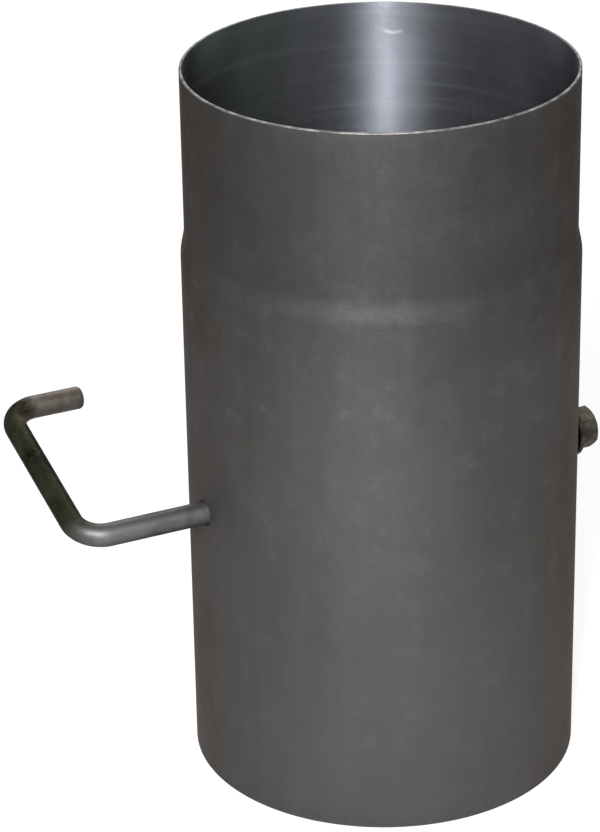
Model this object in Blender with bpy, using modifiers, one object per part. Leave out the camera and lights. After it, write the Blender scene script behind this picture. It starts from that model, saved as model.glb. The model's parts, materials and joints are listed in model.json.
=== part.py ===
"""Stove pipe with a damper: a rolled steel pipe with a spigot end, and a round blade on a bent spindle.

The spindle is one bent rod. It passes through both walls of the pipe, carries the blade in two
saddle clips and turns without a stop. A compressed spring between the wall and the nut at the
spindle's threaded end holds it where it is put.

Lengths are in metres and +Z is up. The origin is the centre of the whole box at its bottom.
"""

from math import asin, cos, pi, radians, sin, sqrt

import bmesh
import bpy
from mathutils import Matrix, Vector

# Pipe
PIPE_BORE = 0.1316
PIPE_WALL = 0.0012
PIPE_LENGTH = 0.250
SPIGOT_LENGTH = 0.055
SHOULDER_LENGTH = 0.010
SPIGOT_CLEARANCE = 0.0002
RIM_CHAMFER = 0.0003
WELD_WIDTH = 0.0042
WELD_PROUD = 0.0003
WELD_ANGLE = radians(34)
WELD_END_GAP = 0.0005

# Spindle and handle, one bent rod
ROD_DIAMETER = 0.008
SPINDLE_HEIGHT = 0.1016
HANDLE_STANDOFF = 0.0445
HANDLE_ARM = 0.0707
HANDLE_RETURN = 0.0277
HANDLE_BEND = 0.010
HANDLE_LIFT = radians(15.1)
HANDLE_TIP_ROUND = 0.0016
THREAD_TIP_CHAMFER = 0.0009

# Damper blade
BLADE_THICKNESS = 0.0015
BLADE_CLEARANCE = 0.002
BLADE_RELIEF_RADIUS = 0.021
SHEET_BEND = 0.0008

# Saddle clips, their screws, spring washers and nuts
CLIP_SPREAD = 0.038
CLIP_WIDTH = 0.016
CLIP_THICKNESS = 0.0015
CLIP_EAR = 0.018
CLIP_CORNER = 0.003
SCREW_DIAMETER = 0.005
SCREW_OFFSET = 0.0125
SCREW_LENGTH = 0.012
SCREW_HEAD_FLATS = 0.008
SCREW_HEAD_HEIGHT = 0.0035
SMALL_NUT_FLATS = 0.008
SMALL_NUT_HEIGHT = 0.004
LOCK_WASHER_DIAMETER = 0.0092
LOCK_WASHER_THICKNESS = 0.0012
LOCK_WASHER_SPLIT = 0.0008

# Washers, spring and nut on the spindle's threaded end
INNER_WASHER_DIAMETER = 0.016
INNER_WASHER_THICKNESS = 0.001
WALL_WASHER_DIAMETER = 0.018
WALL_WASHER_THICKNESS = 0.0012
SPRING_WIRE = 0.0012
SPRING_DIAMETER = 0.0132
SPRING_LENGTH = 0.0046
SPRING_TURNS = 2.25
OUTER_WASHER_DIAMETER = 0.018
OUTER_WASHER_THICKNESS = 0.0016
NUT_FLATS = 0.013
NUT_HEIGHT = 0.0065
NUT_CHAMFER = radians(30)
THREAD_PROUD = 0.0018

# Clearances
SEAT_GAP = 0.0003
WALL_HOLE_CLEARANCE = 0.0005
WASHER_CLEARANCE = 0.0004
WASHER_EDGE = 0.0002

# Facets
PIPE_STEPS = 96
BLADE_STEPS = 96
HOLE_STEPS = 32
SMALL_STEPS = 24
ROD_RESOLUTION = 10
BEND_STEPS = 9
TIP_STEPS = 3
SHEET_BEND_STEPS = 4
SADDLE_STEPS = 12
RELIEF_STEPS = 48
CORNER_STEPS = 5
NUT_STEPS = 64
SHARP_ANGLE = radians(35)
SHOULDER_STEPS = 8
SPRING_STEPS = 24
WIRE_RESOLUTION = 2
WELD_RESOLUTION = 6
MERGE = 0.00001

# Sizes that follow
BORE_RADIUS = PIPE_BORE / 2
BODY_RADIUS = BORE_RADIUS + PIPE_WALL
SPIGOT_RADIUS = BORE_RADIUS - SPIGOT_CLEARANCE
SPIGOT_FOOT = PIPE_LENGTH - SPIGOT_LENGTH
SHOULDER_FOOT = SPIGOT_FOOT - SHOULDER_LENGTH
ROD_RADIUS = ROD_DIAMETER / 2
SADDLE_RADIUS = ROD_RADIUS + SEAT_GAP
BLADE_RADIUS = BORE_RADIUS - BLADE_CLEARANCE
WASHER_BORE = ROD_RADIUS + WASHER_CLEARANCE
SCREW_BORE = SCREW_DIAMETER / 2 + SEAT_GAP
INNER_WASHER_SEAT = sqrt((BORE_RADIUS - SEAT_GAP) ** 2 - (INNER_WASHER_DIAMETER / 2) ** 2)
BLADE_END = INNER_WASHER_SEAT - INNER_WASHER_THICKNESS - SEAT_GAP
WALL_WASHER_FOOT = BODY_RADIUS + SEAT_GAP
SPRING_FOOT = WALL_WASHER_FOOT + WALL_WASHER_THICKNESS + SEAT_GAP
OUTER_WASHER_FOOT = SPRING_FOOT + SPRING_LENGTH + SEAT_GAP
NUT_FOOT = OUTER_WASHER_FOOT + OUTER_WASHER_THICKNESS + SEAT_GAP
SPINDLE_END = NUT_FOOT + NUT_HEIGHT + THREAD_PROUD
UNDER_HEAD = -(SEAT_GAP / 2 + CLIP_THICKNESS + SEAT_GAP)
LOCK_WASHER_FOOT = SEAT_GAP / 2 + BLADE_THICKNESS + SEAT_GAP
CLIP_NUT_FOOT = LOCK_WASHER_FOOT + LOCK_WASHER_THICKNESS + SEAT_GAP
HANDLE_X = -(BODY_RADIUS + HANDLE_STANDOFF)
SCREW_PLACES = [
    (clip_side * CLIP_SPREAD, ear_side * SCREW_OFFSET)
    for clip_side in (-1, 1)
    for ear_side in (-1, 1)
]


def clear_scene():
    for thing in list(bpy.data.objects):
        bpy.data.objects.remove(thing, do_unlink=True)


def new_collection(name):
    collection = bpy.data.collections.new(name)
    bpy.context.scene.collection.children.link(collection)
    return collection


def make_material(name, colour, roughness, metallic):
    material = bpy.data.materials.new(name)
    material.use_nodes = True
    shader = material.node_tree.nodes["Principled BSDF"]
    shader.inputs["Base Color"].default_value = (*colour, 1.0)
    shader.inputs["Roughness"].default_value = roughness
    shader.inputs["Metallic"].default_value = metallic
    return material


def make_empty(name, location, rotation, parent):
    empty = bpy.data.objects.new(name, None)
    empty.location = location
    empty.rotation_euler = rotation
    empty.parent = parent
    PARTS.objects.link(empty)
    return empty


def place(thing, parent, location=(0, 0, 0), material=None):
    """A sub-part goes in the parts' collection, on its parent, with its material."""
    thing.location = location
    thing.parent = parent
    PARTS.objects.link(thing)
    if material:
        thing.data.materials.append(material)
    return thing


def mesh_object(name, bm):
    mesh = bpy.data.meshes.new(name)
    bm.to_mesh(mesh)
    bm.free()
    return bpy.data.objects.new(name, mesh)


def smooth(mesh):
    mesh.shade_smooth()
    mesh.set_sharp_from_angle(angle=SHARP_ANGLE)


def hide_operand(thing, parent):
    """A shape that only cuts or joins another isn't rendered and lies in its own collection."""
    thing.parent = parent
    thing.hide_render = True
    thing.display_type = "WIRE"
    OPERANDS.objects.link(thing)
    return thing


def combine(target, operand, operation):
    modifier = target.modifiers.new(f"{operation} {operand.name}", "BOOLEAN")
    modifier.object = operand
    modifier.operation = operation
    modifier.solver = "EXACT"


def add_cylinder(bm, radius, low, high, centre=(0, 0), axis="Z", steps=HOLE_STEPS):
    """A cylinder from low to high along Z or X, with its axis through the point centre."""
    turn = Matrix.Rotation(pi / 2, 4, "Y") if axis == "X" else Matrix.Identity(4)
    middle = (low + high) / 2
    along_x = Vector((middle, centre[0], centre[1]))
    along_z = Vector((centre[0], centre[1], middle))
    shift = Matrix.Translation(along_x if axis == "X" else along_z)
    bmesh.ops.create_cone(
        bm, cap_ends=True, segments=steps, radius1=radius, radius2=radius,
        depth=high - low, matrix=shift @ turn,
    )


def turned(name, outline, steps, axis="Z"):
    """A ring turned about Z or X from a closed outline of (radius, height) points."""
    bm = bmesh.new()
    points = [bm.verts.new((radius, 0, height)) for radius, height in outline]
    for first, second in zip(points, points[1:] + points[:1]):
        bm.edges.new((first, second))
    thing = mesh_object(name, bm)
    screw = thing.modifiers.new("Turn", "SCREW")
    screw.steps = steps
    screw.render_steps = steps
    screw.use_merge_vertices = True
    screw.merge_threshold = MERGE
    screw.use_smooth_shade = True
    if axis == "X":
        thing.rotation_euler = (0, pi / 2, 0)
    return thing


def washer_outline(outer, inner, thickness):
    return [
        (outer - WASHER_EDGE, thickness),
        (outer, thickness - WASHER_EDGE),
        (outer, WASHER_EDGE),
        (outer - WASHER_EDGE, 0),
        (inner, 0),
        (inner, thickness),
    ]


def shoulder_points(low_radius, high_radius):
    """The swaged shoulder from foot to spigot, as an S-curve."""
    points = []
    for step in range(SHOULDER_STEPS + 1):
        share = step / SHOULDER_STEPS
        blend = (1 - cos(pi * share)) / 2
        radius = low_radius + (high_radius - low_radius) * blend
        points.append((radius, SHOULDER_FOOT + SHOULDER_LENGTH * share))
    return points


def pipe_outline():
    """The wall's section, down its outer side and up its inner side."""
    outer_top = SPIGOT_RADIUS
    inner_top = SPIGOT_RADIUS - PIPE_WALL
    outer = [
        (outer_top - RIM_CHAMFER, PIPE_LENGTH),
        (outer_top, PIPE_LENGTH - RIM_CHAMFER),
        *reversed(shoulder_points(BODY_RADIUS, outer_top)),
        (BODY_RADIUS, RIM_CHAMFER),
        (BODY_RADIUS - RIM_CHAMFER, 0),
    ]
    inner = [
        (BORE_RADIUS + RIM_CHAMFER, 0),
        (BORE_RADIUS, RIM_CHAMFER),
        *shoulder_points(BORE_RADIUS, inner_top),
        (inner_top, PIPE_LENGTH - RIM_CHAMFER),
        (inner_top + RIM_CHAMFER, PIPE_LENGTH),
    ]
    return outer + inner


def curve_object(name, points, depth, resolution, radii=None):
    """A round bar along points, with filled ends."""
    curve = bpy.data.curves.new(name, "CURVE")
    curve.dimensions = "3D"
    curve.bevel_depth = depth
    curve.bevel_resolution = resolution
    curve.use_fill_caps = True
    spline = curve.splines.new("POLY")
    spline.points.add(len(points) - 1)
    for index, point in enumerate(points):
        spline.points[index].co = (*point, 1.0)
        if radii:
            spline.points[index].radius = radii[index]
    return bpy.data.objects.new(name, curve)


def mesh_from_curve(name, thing):
    """The curve's bar as a closed mesh, its caps joined to its sides, in the curve's place."""
    bpy.context.scene.collection.objects.link(thing)
    evaluated = thing.evaluated_get(bpy.context.evaluated_depsgraph_get())
    mesh = bpy.data.meshes.new_from_object(evaluated)
    bm = bmesh.new()
    bm.from_mesh(mesh)
    bmesh.ops.remove_doubles(bm, verts=bm.verts, dist=MERGE)
    bm.to_mesh(mesh)
    bm.free()
    solid = bpy.data.objects.new(name, mesh)
    solid.matrix_world = thing.matrix_world
    bpy.data.objects.remove(thing, do_unlink=True)
    return solid


def make_weld_bead(parent):
    """The lengthwise seam weld, an oval bar along the middle of the wall, proud on both sides."""
    body_middle = BORE_RADIUS + PIPE_WALL / 2
    spigot_middle = SPIGOT_RADIUS - PIPE_WALL / 2
    thickness = PIPE_WALL / 2 + WELD_PROUD
    points = [
        (body_middle, 0, WELD_END_GAP),
        *[(radius, 0, height) for radius, height in shoulder_points(body_middle, spigot_middle)],
        (spigot_middle, 0, PIPE_LENGTH - WELD_END_GAP),
    ]
    bar = curve_object("weld_bar", points, thickness, WELD_RESOLUTION)
    bead = mesh_from_curve("weld_bead", bar)
    bead.data.transform(Matrix.Diagonal((1, WELD_WIDTH / 2 / thickness, 1, 1)))
    bead.rotation_euler = (0, 0, WELD_ANGLE)
    return hide_operand(bead, parent)


def make_spindle_holes(parent):
    bm = bmesh.new()
    reach = BODY_RADIUS + PIPE_WALL
    add_cylinder(bm, ROD_RADIUS + WALL_HOLE_CLEARANCE, -reach, reach, axis="X")
    holes = mesh_object("spindle_holes", bm)
    holes.location = (0, 0, SPINDLE_HEIGHT)
    return hide_operand(holes, parent)


def make_pipe_shell(parent, material):
    shell = turned("pipe_shell", pipe_outline(), PIPE_STEPS)
    combine(shell, make_weld_bead(parent), "UNION")
    combine(shell, make_spindle_holes(parent), "DIFFERENCE")
    return place(shell, parent, material=material)


def rounded_corner(corner, before, after, radius):
    """Points along the arc that rounds a square corner between two directions."""
    centre = corner + radius * (after - before)
    points = []
    for step in range(BEND_STEPS + 1):
        turn = pi / 2 * step / BEND_STEPS
        points.append(centre - radius * after * cos(turn) + radius * before * sin(turn))
    return points


def make_damper_spindle(parent, material):
    """The rod from its threaded end through the pipe, then out into the C-shaped handle."""
    along = Vector((1, 0, 0))
    outward = Vector((0, 1, 0))
    first_corner = Vector((HANDLE_X, 0, 0))
    second_corner = first_corner + HANDLE_ARM * outward
    tip = second_corner + HANDLE_RETURN * along
    thread_end = Vector((SPINDLE_END, 0, 0))
    points = [
        thread_end,
        thread_end - THREAD_TIP_CHAMFER * along,
        *rounded_corner(first_corner, -along, outward, HANDLE_BEND),
        *rounded_corner(second_corner, outward, along, HANDLE_BEND),
    ]
    radii = [1 - THREAD_TIP_CHAMFER / ROD_RADIUS] + [1.0] * (len(points) - 1)
    for step in range(TIP_STEPS + 1):
        angle = pi / 2 * step / TIP_STEPS
        inset = HANDLE_TIP_ROUND * (1 - cos(angle)) / ROD_RADIUS
        points.append(tip - HANDLE_TIP_ROUND * (1 - sin(angle)) * along)
        radii.append(1 - inset)
    spindle = curve_object("damper_spindle", points, ROD_RADIUS, ROD_RESOLUTION, radii)
    return place(spindle, parent, material=material)


def arc_points(centre, radius, start, end, steps):
    """Points on an arc in the plane across the spindle."""
    angles = [start + (end - start) * step / steps for step in range(steps + 1)]
    return [(centre[0] + radius * cos(a), centre[1] + radius * sin(a)) for a in angles]


def saddle_profile(half_width, thickness):
    """The sheet's face towards the spindle: flat, bend, half-round saddle, bend, flat.

    The points are (y, z) from +y to -y. The flats lie half a seat gap above the axis.
    """
    foot = SEAT_GAP / 2
    bend = SHEET_BEND + thickness
    reach = SADDLE_RADIUS + bend
    bend_y = sqrt(reach ** 2 - (foot + bend) ** 2)
    lean = asin((foot + bend) / reach)
    right = arc_points((bend_y, foot + bend), bend, -pi / 2, lean - pi, SHEET_BEND_STEPS)
    saddle = arc_points((0, 0), SADDLE_RADIUS, lean, pi - lean, SADDLE_STEPS)
    left = arc_points((-bend_y, foot + bend), bend, -lean, -pi / 2, SHEET_BEND_STEPS)
    return [(half_width, foot), *right, *saddle[1:-1], *left, (-half_width, foot)]


def sheet_from_profile(name, profile, start, end, thickness, corner=0.0):
    """A sheet drawn along X from its profile, thickened away from the spindle."""
    bm = bmesh.new()
    points = [bm.verts.new((start, y, z)) for y, z in profile]
    edges = [bm.edges.new(pair) for pair in zip(points, points[1:])]
    drawn = bmesh.ops.extrude_edge_only(bm, edges=edges)["geom"]
    moved = [item for item in drawn if isinstance(item, bmesh.types.BMVert)]
    bmesh.ops.translate(bm, verts=moved, vec=(end - start, 0, 0))
    if corner:
        corners = [vert for vert in bm.verts if len(vert.link_edges) == 2]
        bmesh.ops.bevel(
            bm, geom=corners, offset=corner, segments=CORNER_STEPS, profile=0.5, affect="VERTICES",
        )
    bm.normal_update()
    widest = max(bm.faces, key=lambda face: face.calc_area())
    if widest.normal.z > 0:
        bmesh.ops.reverse_faces(bm, faces=bm.faces)
    sheet = mesh_object(name, bm)
    smooth(sheet.data)
    solidify = sheet.modifiers.new("Sheet", "SOLIDIFY")
    solidify.thickness = thickness
    solidify.offset = -1
    solidify.use_even_offset = True
    return sheet


def make_screw_bores(parent):
    """One cutter for the four screws, used on all that they pass through."""
    bm = bmesh.new()
    for x, y in SCREW_PLACES:
        add_cylinder(bm, SCREW_BORE, -SCREW_LENGTH, SCREW_LENGTH, (x, y), steps=SMALL_STEPS)
    return hide_operand(mesh_object("screw_bores", bm), parent)


def make_blade_outline(parent):
    bm = bmesh.new()
    add_cylinder(bm, BLADE_RADIUS, -ROD_DIAMETER, ROD_DIAMETER, steps=BLADE_STEPS)
    return hide_operand(mesh_object("blade_outline", bm), parent)


def make_blade_reliefs(parent):
    """Two round bites in the blade's edge, so that flue gas still passes when it is shut."""
    bm = bmesh.new()
    for side in (-1, 1):
        centre = (0, side * BLADE_RADIUS)
        add_cylinder(bm, BLADE_RELIEF_RADIUS, -ROD_DIAMETER, ROD_DIAMETER, centre, steps=RELIEF_STEPS)
    return hide_operand(mesh_object("blade_reliefs", bm), parent)


def make_damper_blade(parent, screw_bores, material):
    """A round steel sheet with a half-round channel pressed along the spindle."""
    profile = saddle_profile(BORE_RADIUS, BLADE_THICKNESS)
    blade = sheet_from_profile("damper_blade", profile, -BLADE_END, BLADE_END, BLADE_THICKNESS)
    combine(blade, make_blade_outline(parent), "INTERSECT")
    combine(blade, make_blade_reliefs(parent), "DIFFERENCE")
    combine(blade, screw_bores, "DIFFERENCE")
    return place(blade, parent, material=material)


def make_saddle_clip(name, side, parent, screw_bores, material):
    """A strap under the spindle, the blade's counterpart."""
    start = side * CLIP_SPREAD - CLIP_WIDTH / 2
    profile = saddle_profile(CLIP_EAR, CLIP_THICKNESS)
    clip = sheet_from_profile(
        name, profile, start, start + CLIP_WIDTH, CLIP_THICKNESS, CLIP_CORNER,
    )
    clip.data.transform(Matrix.Diagonal((1, -1, -1, 1)))
    combine(clip, screw_bores, "DIFFERENCE")
    return place(clip, parent, material=material)


def finished_mesh(thing, *operands):
    """The mesh that several equal pieces share, with its operands' cuts and joins applied."""
    for item in (thing, *operands):
        bpy.context.scene.collection.objects.link(item)
    evaluated = thing.evaluated_get(bpy.context.evaluated_depsgraph_get())
    mesh = bpy.data.meshes.new_from_object(evaluated)
    for item in (thing, *operands):
        bpy.data.objects.remove(item, do_unlink=True)
    return mesh


def prism(name, radius, low, high, steps):
    bm = bmesh.new()
    add_cylinder(bm, radius, low, high, steps=steps)
    return mesh_object(name, bm)


def place_at_screws(name, mesh, foot, parent, material):
    """One piece for each of the four screws, with its foot at this height over the spindle."""
    mesh.name = name
    mesh.materials.append(material)
    smooth(mesh)
    for number, (x, y) in enumerate(SCREW_PLACES, 1):
        place(bpy.data.objects.new(f"{name}_{number}", mesh), parent, (x, y, foot))


def make_clip_screws(parent, material):
    """Hexagon screws, heads below the clips and ends above the blade."""
    head = prism("head", SCREW_HEAD_FLATS / sqrt(3), -SCREW_HEAD_HEIGHT, 0, 6)
    shank = prism("shank", SCREW_DIAMETER / 2, -SCREW_HEAD_HEIGHT / 2, SCREW_LENGTH, SMALL_STEPS)
    combine(head, shank, "UNION")
    place_at_screws("clip_screw", finished_mesh(head, shank), UNDER_HEAD, parent, material)


def make_lock_washers(parent, material):
    """Split spring washers on the blade, under the nuts."""
    radius = LOCK_WASHER_DIAMETER / 2
    ring = prism("ring", radius, 0, LOCK_WASHER_THICKNESS, SMALL_STEPS)
    bore = prism("bore", SCREW_BORE, -radius, radius, SMALL_STEPS)
    combine(ring, bore, "DIFFERENCE")
    bm = bmesh.new()
    middle = Matrix.Translation((radius, 0, 0))
    size = Matrix.Diagonal((2 * radius, LOCK_WASHER_SPLIT, 4 * LOCK_WASHER_THICKNESS, 1))
    bmesh.ops.create_cube(bm, size=1, matrix=middle @ size)
    split = mesh_object("split", bm)
    combine(ring, split, "DIFFERENCE")
    mesh = finished_mesh(ring, bore, split)
    place_at_screws("clip_lock_washer", mesh, LOCK_WASHER_FOOT, parent, material)


def make_clip_nuts(parent, material):
    nut = prism("nut", SMALL_NUT_FLATS / sqrt(3), 0, SMALL_NUT_HEIGHT, 6)
    bore = prism("bore", SCREW_BORE, -SMALL_NUT_HEIGHT, 2 * SMALL_NUT_HEIGHT, SMALL_STEPS)
    combine(nut, bore, "DIFFERENCE")
    place_at_screws("clip_nut", finished_mesh(nut, bore), CLIP_NUT_FOOT, parent, material)


def make_spindle_washer(name, diameter, thickness, foot, parent, material):
    """A flat washer on the spindle, from foot outwards."""
    outline = washer_outline(diameter / 2, WASHER_BORE, thickness)
    washer = turned(name, outline, HOLE_STEPS, axis="X")
    return place(washer, parent, (foot, 0, 0), material)


def make_friction_spring(parent, material):
    """A compression spring around the spindle, from the wall washer to the outer washer."""
    wire = SPRING_WIRE / 2
    radius = SPRING_DIAMETER / 2 - wire
    rise = SPRING_LENGTH - SPRING_WIRE
    count = int(SPRING_TURNS * SPRING_STEPS)
    points = []
    for index in range(count + 1):
        share = index / count
        angle = 2 * pi * SPRING_TURNS * share
        points.append((wire + rise * share, radius * cos(angle), radius * sin(angle)))
    spring = curve_object("friction_spring", points, wire, WIRE_RESOLUTION)
    return place(spring, parent, (SPRING_FOOT, 0, 0), material)


def make_retaining_nut(parent, material):
    """The hexagon nut at the spindle's end, chamfered at both faces."""
    corner = NUT_FLATS / sqrt(3)
    bm = bmesh.new()
    add_cylinder(bm, corner, 0, NUT_HEIGHT, axis="X", steps=6)
    nut = mesh_object("retaining_nut", bm)
    flat = NUT_FLATS / 2
    slope = (corner - flat) * sin(NUT_CHAMFER) / cos(NUT_CHAMFER)
    barrel = turned(
        "nut_barrel",
        [
            (flat, NUT_HEIGHT + MERGE),
            (corner + MERGE, NUT_HEIGHT - slope),
            (corner + MERGE, slope),
            (flat, -MERGE),
            (WASHER_BORE, -MERGE),
            (WASHER_BORE, NUT_HEIGHT + MERGE),
        ],
        NUT_STEPS,
        axis="X",
    )
    barrel.location = (NUT_FOOT, 0, 0)
    combine(nut, hide_operand(barrel, parent), "INTERSECT")
    return place(nut, parent, (NUT_FOOT, 0, 0), material)


def pipe_axis_place():
    """Where the pipe's axis stands, so that the whole box is centred on the origin."""
    handle_y = HANDLE_ARM * cos(HANDLE_LIFT) + ROD_RADIUS
    low_x = HANDLE_X - ROD_RADIUS
    high_y = max(BODY_RADIUS, handle_y)
    return (-(low_x + SPINDLE_END) / 2, -(high_y - BODY_RADIUS) / 2, 0)


def build():
    steel = make_material("dark_mill_steel", (0.085, 0.086, 0.092), 0.5, 0.7)
    rod_steel = make_material("drawn_rod_steel", (0.13, 0.125, 0.115), 0.45, 0.85)
    sheet_steel = make_material("blade_sheet_steel", (0.12, 0.12, 0.125), 0.5, 0.8)
    zinc = make_material("zinc_plated_steel", (0.20, 0.19, 0.17), 0.45, 1.0)
    spring_steel = make_material("spring_steel", (0.22, 0.21, 0.20), 0.35, 1.0)

    pipe_axis = make_empty("pipe_axis", pipe_axis_place(), (0, 0, 0), None)
    fixed_axis = make_empty("spindle_line", (0, 0, SPINDLE_HEIGHT), (0, 0, 0), pipe_axis)
    spindle_axis = make_empty("spindle_axis", (0, 0, SPINDLE_HEIGHT), (HANDLE_LIFT, 0, 0), pipe_axis)

    make_pipe_shell(pipe_axis, steel)
    make_spindle_washer(
        "inner_washer", INNER_WASHER_DIAMETER, INNER_WASHER_THICKNESS,
        INNER_WASHER_SEAT - INNER_WASHER_THICKNESS, fixed_axis, zinc,
    )
    make_spindle_washer(
        "wall_washer", WALL_WASHER_DIAMETER, WALL_WASHER_THICKNESS,
        WALL_WASHER_FOOT, fixed_axis, zinc,
    )

    screw_bores = make_screw_bores(spindle_axis)
    make_damper_spindle(spindle_axis, rod_steel)
    make_damper_blade(spindle_axis, screw_bores, sheet_steel)
    make_saddle_clip("saddle_clip_handle_side", -1, spindle_axis, screw_bores, sheet_steel)
    make_saddle_clip("saddle_clip_spring_side", 1, spindle_axis, screw_bores, sheet_steel)
    make_clip_screws(spindle_axis, zinc)
    make_lock_washers(spindle_axis, spring_steel)
    make_clip_nuts(spindle_axis, zinc)
    make_friction_spring(spindle_axis, spring_steel)
    make_spindle_washer(
        "outer_washer", OUTER_WASHER_DIAMETER, OUTER_WASHER_THICKNESS,
        OUTER_WASHER_FOOT, spindle_axis, zinc,
    )
    make_retaining_nut(spindle_axis, zinc)


clear_scene()
PARTS = new_collection("stove_pipe_with_damper")
OPERANDS = new_collection("operands")
build()
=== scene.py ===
"""Looks of the stove pipe with damper: the visible pieces, their finishes, the light and the camera."""

import json
from math import asin, atan2, cos, hypot, pi, radians, sin, sqrt, tan

import bmesh
import bpy
from mathutils import Matrix, Vector


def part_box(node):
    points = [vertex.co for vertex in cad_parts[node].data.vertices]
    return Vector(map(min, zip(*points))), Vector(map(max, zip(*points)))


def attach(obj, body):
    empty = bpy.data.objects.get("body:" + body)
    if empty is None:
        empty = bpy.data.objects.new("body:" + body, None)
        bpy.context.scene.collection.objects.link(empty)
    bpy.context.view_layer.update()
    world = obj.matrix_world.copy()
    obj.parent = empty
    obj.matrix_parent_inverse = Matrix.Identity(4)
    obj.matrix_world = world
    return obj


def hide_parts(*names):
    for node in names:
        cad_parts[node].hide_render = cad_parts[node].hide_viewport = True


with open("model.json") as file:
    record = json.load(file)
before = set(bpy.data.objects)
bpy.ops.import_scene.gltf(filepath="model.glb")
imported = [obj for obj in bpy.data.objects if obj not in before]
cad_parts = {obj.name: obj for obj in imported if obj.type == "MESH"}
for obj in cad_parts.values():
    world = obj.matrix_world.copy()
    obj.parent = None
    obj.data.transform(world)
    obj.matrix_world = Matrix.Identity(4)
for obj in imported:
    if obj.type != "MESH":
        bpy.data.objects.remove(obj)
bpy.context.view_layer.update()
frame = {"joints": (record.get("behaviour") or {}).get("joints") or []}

# Places and sizes from the frame
PIPE_LOW, PIPE_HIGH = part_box("pipe_shell")
PIPE_AXIS = Vector(((PIPE_LOW.x + PIPE_HIGH.x) / 2, (PIPE_LOW.y + PIPE_HIGH.y) / 2, 0))
BODY_RADIUS = (PIPE_HIGH.x - PIPE_LOW.x) / 2
PIPE_LENGTH = PIPE_HIGH.z
SPINDLE = Vector(frame["joints"][0]["pos_m"])
ROD_LOW, ROD_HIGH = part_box("damper_spindle")

# Pipe wall; here and below, sizes follow the solids, and rounded edges, threads and steps are trim
PIPE_WALL = 0.0012
BORE_RADIUS = BODY_RADIUS - PIPE_WALL
SPIGOT_CLEARANCE = 0.0002
SPIGOT_RADIUS = BORE_RADIUS - SPIGOT_CLEARANCE
SPIGOT_LENGTH = 0.055
SHOULDER_LENGTH = 0.010
SHOULDER_TOP = PIPE_LENGTH - SPIGOT_LENGTH
SHOULDER_FOOT = SHOULDER_TOP - SHOULDER_LENGTH
RIM_ROUND = 0.00035
HOLE_CLEARANCE = 0.0005
OUTER_FACE, CUT_FACE, INNER_FACE = 0, 1, 2
PIPE_STEPS = 240
BODY_RINGS = 30
SHOULDER_RINGS = 12
SPIGOT_RINGS = 10

# Seam weld, and the painted highlight of a small dent on the inner face
WELD_ANGLE = radians(34)
WELD_WIDTH = 0.0030
WELD_PROUD = 0.00026
WELD_PROUD_INSIDE = 0.00009
WELD_RIPPLE = 0.0016
WELD_RIPPLE_STEPS = 5
WELD_WAVE = 0.18
WELD_SIDE_STEPS = 4
WELD_END = 0.001
WELD_EDGE_SINK = 0.00004
WELD_FOOT_SINK = 0.0004
WELD_LAG = 0.0005
DENT_PLACE = tuple(PIPE_AXIS + Vector((0.0328, 0.0555, 0.2405)))
DENT_RADIUS = 0.0026
DENT_WIDTH = 0.0017
DENT_STRENGTH = 0.6

# Painted shade and light on the pipe's outside: a painted highlight with scuffs of wear below the shoulder,
# painted shade towards the spigot's top, partly its own swaged tone, and painted light towards the foot;
# and the two tints of its inside, with painted shade on one side and painted light on the other
# Painted highlight below the shoulder: an even band and short scuffs of wear, lighter than the wall
HIGHLIGHT_BAND_RISE = (SHOULDER_FOOT - 0.016, SHOULDER_FOOT + 0.001)
HIGHLIGHT_BAND_LOW = (SHOULDER_FOOT - 0.014, SHOULDER_FOOT - 0.002)
HIGHLIGHT_BAND_HIGH = (SHOULDER_FOOT + 0.008, SHOULDER_FOOT + 0.002)
HIGHLIGHT_BAND_EVEN = 0.03
HIGHLIGHT_BAND_SCUFFS = 0.20
# Painted shade, partly the spigot's own swaged tone: the outside darkens from here up to the spigot's top
SPIGOT_SHADE_FROM = SHOULDER_FOOT - 0.025
SPIGOT_SHADE_SHARE = 0.24
# Painted light: the outside is lighter towards the foot, fading out at the shoulder's foot
FOOT_LIGHT_BELOW = 0.03
FOOT_LIGHT_SHARE = 0.40
# Where the inner face turns from its greenish tint, darkened as painted shade, to its bluish tint,
# lightened as painted light
SHADED_GREEN_X = PIPE_AXIS.x - 0.03
LIT_BLUE_X = PIPE_AXIS.x + 0.02

# Rod and handle
ROD_RADIUS = 0.004
HANDLE_X = ROD_LOW.x + ROD_RADIUS - SPINDLE.x
SPINDLE_END = ROD_HIGH.x - SPINDLE.x
ARM_Y = ROD_HIGH.y - ROD_RADIUS - SPINDLE.y
ARM_Z = ROD_HIGH.z - ROD_RADIUS - SPINDLE.z
HANDLE_ARM = hypot(ARM_Y, ARM_Z)
HANDLE_LIFT = atan2(ARM_Z, ARM_Y)
HANDLE_RETURN = 0.0277
HANDLE_BEND = 0.010
BEND_STEPS = 16
BEND_SQUEEZE = 0.985
STRAIGHT_HEADING = 0.98
ROD_SIDES = 40
RUN_STEP = 0.004
TIP_LENGTH = 0.0015
TIP_INSET = 0.0013
TIP_RINGS = 5
END_CHAMFER = 0.0008
THREAD_PITCH = 0.00125
THREAD_DEPTH = 0.00062
THREAD_RINGS = 8
FLANK_SLOPE = 1.3
FLANK_START = 0.15
THREAD_CLEARANCE = 0.0001
THREAD_START = BODY_RADIUS - 0.004
SPIN = Matrix.Translation(SPINDLE) @ Matrix.Rotation(HANDLE_LIFT, 4, "X")

# Where the painted shade on the arm and the browned end of the handle start and are full
ARM_SHADE_REACH = (-0.002, 0.009)
BORDER_WANDER = 0.012
BROWN_X = (HANDLE_X + 0.004, HANDLE_X + 0.012)
BROWN_REACH = (0.03, 0.04)

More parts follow.
